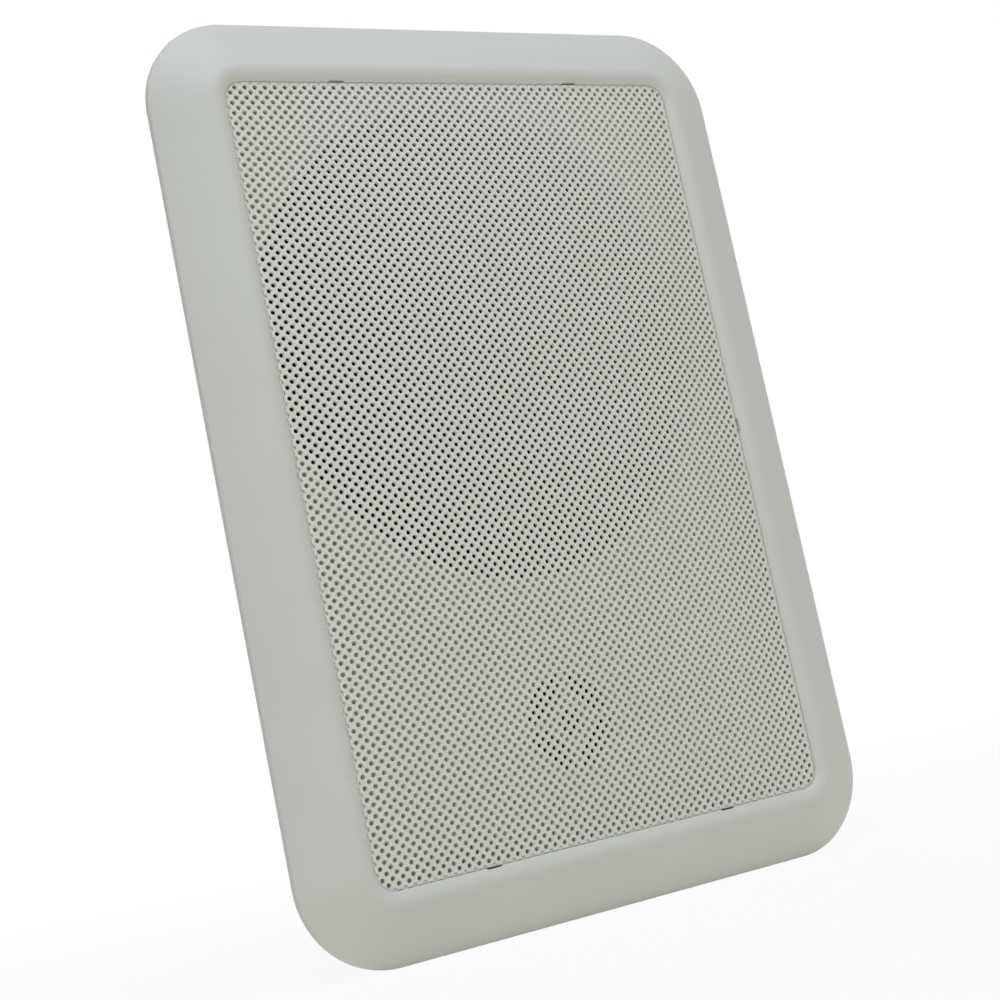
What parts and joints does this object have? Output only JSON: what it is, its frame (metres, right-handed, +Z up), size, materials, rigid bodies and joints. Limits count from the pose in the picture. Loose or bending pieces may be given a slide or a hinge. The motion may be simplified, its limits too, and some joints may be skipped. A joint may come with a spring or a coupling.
{
  "type": "in-wall speaker",
  "caption": "Flush in-wall two-way loudspeaker: sloped off-white frame, crowned perforated grille, woofer above a guarded tweeter, and swing-out clamps that grip the wall board.",
  "frame": {"origin": "centre of the frame outline, on the plane of the wall surface that the bezel's rim rests on", "axes": "+Z up, front facing -Y, +Y into the wall, +X to the right as seen from the front"},
  "size_m": [0.2208, 0.099, 0.3092],
  "materials": {
    "frame_plastic": "fine texture, off-white",
    "grille_paint": "satin off-white paint",
    "basket_paint": "satin black paint",
    "gasket_foam": "matt foam",
    "surround_rubber": "matt",
    "cone_plastic": "satin filled polypropylene",
    "former_aluminium": "plain foil",
    "copper_wire": "enamelled copper",
    "spider_cloth": "resin-treated cotton",
    "plated_steel": "zinc plated",
    "ferrite": "ground ferrite",
    "fibre_strip": "phenolic board",
    "tinned_brass": "tinned",
    "black_screw": "black zinc",
    "zinc_screw": "bright zinc",
    "black_plastic": "fine texture",
    "dome_silk": "doped silk",
    "board_laminate": "paper laminate",
    "bobbin_plastic": "moulded",
    "capacitor_film": "tape wrapped",
    "resistor_ceramic": "fired ceramic",
    "red_plastic": "moulded",
    "black_lever": "moulded",
    "clamp_nylon": "glass-filled nylon"
  },
  "bodies": {
    "frame": {"board_screws": "zinc_screw", "capacitor": "capacitor_film", "crossover_board": "board_laminate", "frame": "frame_plastic", "grille": "grille_paint", "inductor_bobbin": "bobbin_plastic", "inductor_winding": "copper_wire", "magnet": "ferrite", "pole_yoke": "plated_steel", "resistor": "resistor_ceramic", "spider": "spider_cloth", "surround": "surround_rubber", "terminal_block": "black_plastic", "terminal_contacts": "tinned_brass", "terminal_screws": "zinc_screw", "top_plate": "plated_steel", "tweeter_dome": "dome_silk", "tweeter_housing": "black_plastic", "tweeter_pot": "plated_steel", "tweeter_screws": "black_screw", "tweeter_tag_strip": "fibre_strip", "tweeter_tags": "tinned_brass", "tweeter_voice_coil": "copper_wire", "woofer_basket": "basket_paint", "woofer_gasket": "gasket_foam", "woofer_screws": "black_screw", "woofer_tag_strip": "fibre_strip", "woofer_tags": "tinned_brass"},
    "cone_assembly": {"cone": "cone_plastic", "dust_cap": "cone_plastic", "voice_coil_former": "former_aluminium", "voice_coil": "copper_wire"},
    "lever_red": {"terminal_lever_red": "red_plastic"},
    "lever_black": {"terminal_lever_black": "black_lever"},
    "screw_upper_left": {"clamp_screw_upper_left": "zinc_screw"},
    "arm_upper_left": {"clamp_arm_upper_left": "clamp_nylon"},
    "screw_upper_right": {"clamp_screw_upper_right": "zinc_screw"},
    "arm_upper_right": {"clamp_arm_upper_right": "clamp_nylon"},
    "screw_left": {"clamp_screw_left": "zinc_screw"},
    "arm_left": {"clamp_arm_left": "clamp_nylon"},
    "screw_right": {"clamp_screw_right": "zinc_screw"},
    "arm_right": {"clamp_arm_right": "clamp_nylon"},
    "screw_lower_left": {"clamp_screw_lower_left": "zinc_screw"},
    "arm_lower_left": {"clamp_arm_lower_left": "clamp_nylon"},
    "screw_lower_right": {"clamp_screw_lower_right": "zinc_screw"},
    "arm_lower_right": {"clamp_arm_lower_right": "clamp_nylon"}
  },
  "joints": [
    {"name": "cone_travel", "type": "slide", "parent": "frame", "child": "cone_assembly", "axis": [0, 1, 0], "range_m": [-0.004, 0.004], "stiffness_N_per_m": 1000, "deforming": ["surround", "spider"]},
    {"name": "lever_red_press", "type": "hinge", "parent": "frame", "child": "lever_red", "pos_m": [0.04825, 0.0185, -0.0752], "axis": [-1, 0, 0], "range_deg": [0, 12], "stiffness_Nm_per_rad": 0.02},
    {"name": "lever_black_press", "type": "hinge", "parent": "frame", "child": "lever_black", "pos_m": [0.06375, 0.0185, -0.0752], "axis": [-1, 0, 0], "range_deg": [0, 12], "stiffness_Nm_per_rad": 0.02},
    {"name": "clamp_upper_left_swing", "type": "hinge", "parent": "frame", "child": "screw_upper_left", "pos_m": [-0.0463, 0, 0.1272], "axis": [0, 1, 0], "range_deg": [0, 90]},
    {"name": "clamp_upper_left_draw", "type": "slide", "parent": "screw_upper_left", "child": "arm_upper_left", "axis": [0, -1, 0], "range_m": [0, 0.018]},
    {"name": "clamp_upper_right_swing", "type": "hinge", "parent": "frame", "child": "screw_upper_right", "pos_m": [0.0463, 0, 0.1272], "axis": [0, 1, 0], "range_deg": [0, 90]},
    {"name": "clamp_upper_right_draw", "type": "slide", "parent": "screw_upper_right", "child": "arm_upper_right", "axis": [0, -1, 0], "range_m": [0, 0.018]},
    {"name": "clamp_left_swing", "type": "hinge", "parent": "frame", "child": "screw_left", "pos_m": [-0.083, 0, 0], "axis": [0, 1, 0], "range_deg": [0, 90]},
    {"name": "clamp_left_draw", "type": "slide", "parent": "screw_left", "child": "arm_left", "axis": [0, -1, 0], "range_m": [0, 0.018]},
    {"name": "clamp_right_swing", "type": "hinge", "parent": "frame", "child": "screw_right", "pos_m": [0.083, 0, 0], "axis": [0, 1, 0], "range_deg": [0, 90]},
    {"name": "clamp_right_draw", "type": "slide", "parent": "screw_right", "child": "arm_right", "axis": [0, -1, 0], "range_m": [0, 0.018]},
    {"name": "clamp_lower_left_swing", "type": "hinge", "parent": "frame", "child": "screw_lower_left", "pos_m": [-0.0463, 0, -0.1272], "axis": [0, 1, 0], "range_deg": [0, 90]},
    {"name": "clamp_lower_left_draw", "type": "slide", "parent": "screw_lower_left", "child": "arm_lower_left", "axis": [0, -1, 0], "range_m": [0, 0.018]},
    {"name": "clamp_lower_right_swing", "type": "hinge", "parent": "frame", "child": "screw_lower_right", "pos_m": [0.0463, 0, -0.1272], "axis": [0, 1, 0], "range_deg": [0, 90]},
    {"name": "clamp_lower_right_draw", "type": "slide", "parent": "screw_lower_right", "child": "arm_lower_right", "axis": [0, -1, 0], "range_m": [0, 0.018]}
  ]
}
